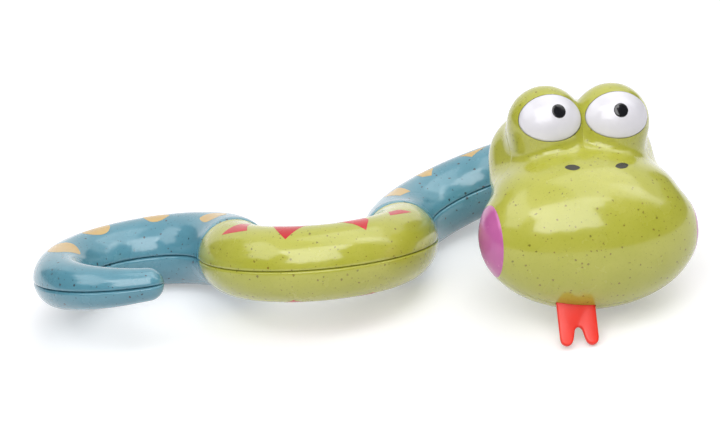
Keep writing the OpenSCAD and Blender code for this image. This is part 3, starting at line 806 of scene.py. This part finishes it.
for segment, material, slotName in (("tail", bluePlastic, "blue_shell"),
                                    ("middle", greenPlastic, "green_shell"),
                                    ("neck", bluePlastic, "blue_shell")):
    for upper in (True, False):
        makeHalfTube(segment, upper, material, slotName)
print("tube shells made")

frontShell = makeHeadShell(True, greenPlastic)
backShell = makeHeadShell(False, greenPlastic)
makeHeadCollar(greenPlastic)

pocketOutline = oval(*(half + eyes["gap"] for half in eyes["domeHalf"]))
pocketTurn = lookFrame(eyes["domePitch"], eyes["domeYaw"])
eyeCutters = [makeCutter(f"eyeCut{side}", pocketOutline, *eyes["pocket"], pocketTurn, eyeMiddle(side))
              for side in (-1, 1)]
slotHalf, slotDeep = tongue["width"] / 2 + eyes["gap"], tongue["thickness"] / 2 + eyes["gap"]
near, far = tongue["slot"]
slotOutline = np.array([[-slotHalf, near], [slotHalf, near], [slotHalf, far], [-slotHalf, far]])
slotOutline[:, 0] += tongue["x"]
slotCutter = makeCutter("slotCut", slotOutline, -slotDeep, slotDeep, turnX(90 - head["partingLean"]),
                        head["partingAt"])
cutAway(frontShell, eyeCutters + [slotCutter])
cutAway(backShell, [slotCutter])
for cutter in eyeCutters + [slotCutter]:
    bpy.data.objects.remove(cutter)
print("head shells made")

sides = ((-1, "left"), (1, "right"))
for side, word in sides:
    makeLens(f"{word}EyeDome", side, eyes["domeHalf"], eyes["domePitch"], eyes["domeYaw"],
             head["eyeRadius"] + eyes["proud"], eyes["thickness"], eyeWhite, "eye_white", f"{word}_eye")
    makeLens(f"{word}Pupil", side, (eyes["pupilRadius"], eyes["pupilRadius"]), eyes["pupilPitch"][side],
             eyes["pupilYaw"][side], head["eyeRadius"] + eyes["pupilProud"], eyes["pupilThickness"],
             pupilBlack, "pupil_black", f"{word}_pupil")
makeTongue(tongueRed)
print("eyes and tongue made")

# Prints on the face: cheek spots and nostrils
face = {
    "cheekAt": {-1: (0.0, -57.0, -19.3), 1: (0.0, -52.4, -19.3)},
    "cheekHalf": {-1: (13.0, 14.2), 1: (11.0, 12.0)},
    "nostrilAt": {-1: (-7.7, -40.0, 9.5), 1: (12.0, -40.0, 9.1)},
    "nostrilHalf": (2.9, 0.85),
    "nostrilPinch": 0.4,  # draws the nostril's ends to a point
}
for side, word in sides:
    a, b = face["cheekHalf"][side]
    place = onHead(face["cheekAt"][side], (0, 1, 0), (0, 0, 1), (side, 0, 0))
    makePatch(f"{word}Cheek", oval(side * a, b), place, "head", cheekPink, "green_shell")
    a, b = face["nostrilHalf"]
    outline = oval(a, b)
    outline[:, 1] *= np.abs(outline[:, 1] / b) ** face["nostrilPinch"]
    place = onHead(face["nostrilAt"][side], (1, 0, 0), (0, 0, 1), (0, -1, 0))
    makePatch(f"{word}Nostril", outline, place, "head", nostrilDark, "green_shell")

# Prints on the tubes: bend angle and angle round the section of each corner
redTriangles = [
    [(22.5, 53), (39.5, 71), (27, 101), (22.8, 88)],
    [(67.5, 52), (75.5, 88), (79, 104), (50, 104), (55, 89)],
    [(111.4, 54), (114.5, 66), (119.2, 80.5), (122, 104), (100, 104), (104.2, 82.4), (106.9, 75),
     (109, 65.5)],
    [(155.5, 63), (152, 82), (142.5, 89), (136.5, 76)],
    [(68.5, -58), (76.5, -88), (80, -104), (51, -104), (56, -89)],
    [(114, -62), (121, -83), (122.5, -104), (102, -104), (106, -82)],
]
neckTriangles = [
    [(154, 81), (139, 89), (140.5, 99), (145.5, 121), (159.5, 112)],
    [(118, 77), (105.5, 94), (113.5, 116), (119.5, 107)],
    [(86, 95), (66, 92), (77, 114)],
]
yellowDiscs = [
    [(168.5, 66), (158.5, 72), (156, 86), (156, 107), (161, 126), (169.5, 134), (179.5, 95)],
    [(132, 86), (132, 106), (125, 118), (117.5, 115), (112.5, 101), (112.5, 89), (121, 84)],
    [(87.5, 82), (84.5, 106), (79, 115), (72.5, 112), (68.5, 96), (77, 84)],
    [(36.5, 109), (30.5, 118), (21.5, 119), (17.5, 107), (18.5, 85), (30.5, 90)],
]


def straightSides(corners):
    # Points at even shares of the way from each corner to the next
    corners = np.array(corners, dtype=float)
    ahead = np.roll(corners, -1, 0)
    share = np.linspace(0, 1, prints["sidePoints"], endpoint=False)[None, :, None]
    return (corners[:, None] + share * (ahead - corners)[:, None]).reshape(-1, 2)


def facingOut(outline):
    # Prints face outwards when the sum of cross products of neighbouring corners is positive
    x, y = outline.T
    return outline if np.sum(x * np.roll(y, -1) - y * np.roll(x, -1)) > 0 else outline[::-1]


def printOnTube(name, segment, outline, material, slotName):
    # A patch whose outline is in bend angle and angle round the section
    makePatch(name, facingOut(outline), lambda u, v, lift: onTube(segment, u, v, lift), segment,
              material, slotName)


for number, corners in enumerate(redTriangles):
    printOnTube(f"redTriangle{number + 1}", "middle", straightSides(corners), redPrint, "green_shell")
for number, corners in enumerate(neckTriangles):
    printOnTube(f"yellowTriangle{number + 1}", "neck", straightSides(corners), yellowPrint, "blue_shell")
for number, corners in enumerate(yellowDiscs):
    printOnTube(f"yellowDisc{number + 1}", "tail", smoothLoop(corners, prints["roundPoints"]), yellowPrint,
                "blue_shell")
print("prints made")

# The swivels' hidden pieces keep their solids
for segment in ("tail", "neck", "head"):
    for word, material in (("spindle", swivelPlastic), ("click_spring", springPlastic),
                           ("washer", washerPlastic)):
        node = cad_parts[f"{segment}_{word}"]
        for slot in node.material_slots:
            slot.material = material

# Studio, in metres: a white floor, four soft boxes, and a dark lining that stands between them and the toy

studio = {
    "floorHalf": 4.0,
    "floorDrop": 0.0003,  # below the toy's lowest point
    "floorColour": (0.735, 0.733, 0.752, 1),
    "glowBand": (0.5, 2.6),  # metres from the toy
    "glow": (0.38, 1.0),  # the floor's own light near and far
    "skyLevel": 0.25,
    "liningReach": 2.3,
    "liningRagged": 1.5,  # degrees
    "liningRows": 12,
    "liningColour": (0.16, 0.16, 0.16, 1),
    "boxReach": 2.6,
}

# Top edge of the lining in degrees over the floor, by azimuth from the camera's side
liningEdge = [(-146, 38), (-128, 42), (-98, 40), (-90, 28), (-64, 34), (-61, 52), (-44, 50), (-41, 29),
              (-14, 30), (20, 33), (24, 54), (64, 60), (76, 30), (84, 26), (135, 25), (141, 12)]

# Azimuth, elevation, width and height in metres, and brightness of each soft box
softBoxes = [
    (-6, 52, 3.0, 2.2, 2.75),
    (112, 67, 2.4, 2.2, 1.06),
    (-93, 47, 2.4, 1.5, 1.2),
    (88, 43, 0.45, 1.9, 1.35),
]


def seenDirectly(tree):
    # 1 for camera, glossy and transmission rays, so gloss shows the background that the camera sees
    rays = addNode(tree, "ShaderNodeLightPath").outputs
    gloss = calc(tree, "MAXIMUM", rays["Is Glossy Ray"], rays["Is Transmission Ray"])
    return calc(tree, "MAXIMUM", rays["Is Camera Ray"], gloss)


def addStage(name, points, faces, material):
    # A mesh of the studio, which isn't part of the toy
    mesh = bpy.data.meshes.new(name)
    mesh.from_pydata(points, [], faces)
    mesh.materials.append(material)
    stage = bpy.data.objects.new(name, mesh)
    bpy.context.scene.collection.objects.link(stage)
    return stage


def mattMaterial(name, colour, rough):
    # A dull surface without gloss
    material, tree, shader, place = newMaterial(name)
    shader.inputs["Base Color"].default_value = colour
    shader.inputs["Roughness"].default_value = rough
    shader.inputs["Specular IOR Level"].default_value = 0.0
    return material, tree, shader, place


def makeFloor():
    # A flat square, lit by the lamps near the toy and glowing up to the sky's white farther out: the glow
    # goes smoothly from one share to the other with the distance from the middle
    material, tree, shader, place = mattMaterial("floorWhite", studio["floorColour"], 0.9)
    distance = addNode(tree, "ShaderNodeVectorMath", {0: place}, operation="LENGTH").outputs["Value"]
    share = smoothStep(tree, distance, studio["glowBand"], studio["glow"])
    strength = calc(tree, "MULTIPLY", seenDirectly(tree), share)
    glow = addNode(tree, "ShaderNodeEmission", {"Color": (1, 1, 1, 1), "Strength": strength})
    both = addNode(tree, "ShaderNodeAddShader", {0: shader.outputs[0], 1: glow.outputs[0]})
    tree.links.new(both.outputs[0], tree.nodes["Material Output"].inputs["Surface"])
    h, z = studio["floorHalf"], -studio["floorDrop"]
    addStage("studioFloor", [(-h, -h, z), (h, -h, z), (h, h, z), (-h, h, z)], [(0, 1, 2, 3)], material)


def makeLining():
    # A ball's side from the floor up to the edge's height at each azimuth, made ragged by two slow sines
    azimuth = np.arange(liningEdge[0][0], liningEdge[-1][0] + 1, 1.0)[None, :]
    top = np.interp(azimuth, *np.array(liningEdge, dtype=float).T)
    top = top + studio["liningRagged"] * (np.sin(azimuth * 0.31) + 0.5 * np.sin(azimuth * 0.83 + 1))
    height = np.radians(np.linspace(0, 1, studio["liningRows"])[:, None] * top)
    across = np.radians(azimuth)
    points = studio["liningReach"] * np.stack([np.sin(across) * np.cos(height),
                                               -np.cos(across) * np.cos(height), np.sin(height)], -1)
    rows, columns = points.shape[:2]
    i, j = np.meshgrid(np.arange(rows - 1), np.arange(columns - 1), indexing="ij")
    a = i * columns + j
    quads = np.stack([a, a + columns, a + columns + 1, a + 1], -1).reshape(-1, 4)
    cloth = mattMaterial("liningCloth", studio["liningColour"], 1.0)[0]
    lining = addStage("studioLining", points.reshape(-1, 3).tolist(), quads.tolist(), cloth)
    lining.visible_camera = False


def makeSoftBox(number, azimuth, elevation, width, height, level):
    # A rectangular lamp that faces the toy. Its power is four times its area times the brightness.
    lamp = bpy.data.lights.new(f"softBox{number}", "AREA")
    lamp.shape = "RECTANGLE"
    lamp.size = width
    lamp.size_y = height
    lamp.energy = 4 * width * height * level
    across, up = math.radians(azimuth), math.radians(elevation)
    toward = Vector((math.sin(across) * math.cos(up), -math.cos(across) * math.cos(up), math.sin(up)))
    box = bpy.data.objects.new(f"softBox{number}", lamp)
    box.location = toward * studio["boxReach"]
    box.rotation_euler = toward.to_track_quat("Z", "Y").to_euler()
    bpy.context.scene.collection.objects.link(box)


def makeSky():
    # White where the camera or a reflection sees it, and a weaker light on the toy
    world = bpy.data.worlds.new("studioSky")
    world.use_nodes = True
    bpy.context.scene.world = world
    tree = world.node_tree
    strength = addNode(tree, "ShaderNodeMix", {0: seenDirectly(tree), 2: studio["skyLevel"], 3: 1.0})
    tree.links.new(strength.outputs[0], tree.nodes["Background"].inputs["Strength"])
    tree.nodes["Background"].inputs["Color"].default_value = (1, 1, 1, 1)


makeFloor()
makeLining()
makeSky()
for number, box in enumerate(softBoxes):
    makeSoftBox(number + 1, *box)
print("studio made")

camera = {
    "at": (-0.11618, -1.05817, 0.55407),
    "turn": (63.98125, 5.99648, -9.29138),
    "lens": 147.6,  # millimetres, as is the sensor
    "sensor": 36.0,
    "clip": (0.05, 20),
}
cameraData = bpy.data.cameras.new("camera")
cameraData.lens = camera["lens"]
cameraData.sensor_width = camera["sensor"]
cameraData.clip_start, cameraData.clip_end = camera["clip"]
cameraObject = bpy.data.objects.new("camera", cameraData)
cameraObject.location = camera["at"]
cameraObject.rotation_euler = Euler([math.radians(a) for a in camera["turn"]], "XYZ")
bpy.context.scene.collection.objects.link(cameraObject)
bpy.context.scene.camera = cameraObject
bpy.context.scene.view_settings.view_transform = "Standard"

print("scene done")
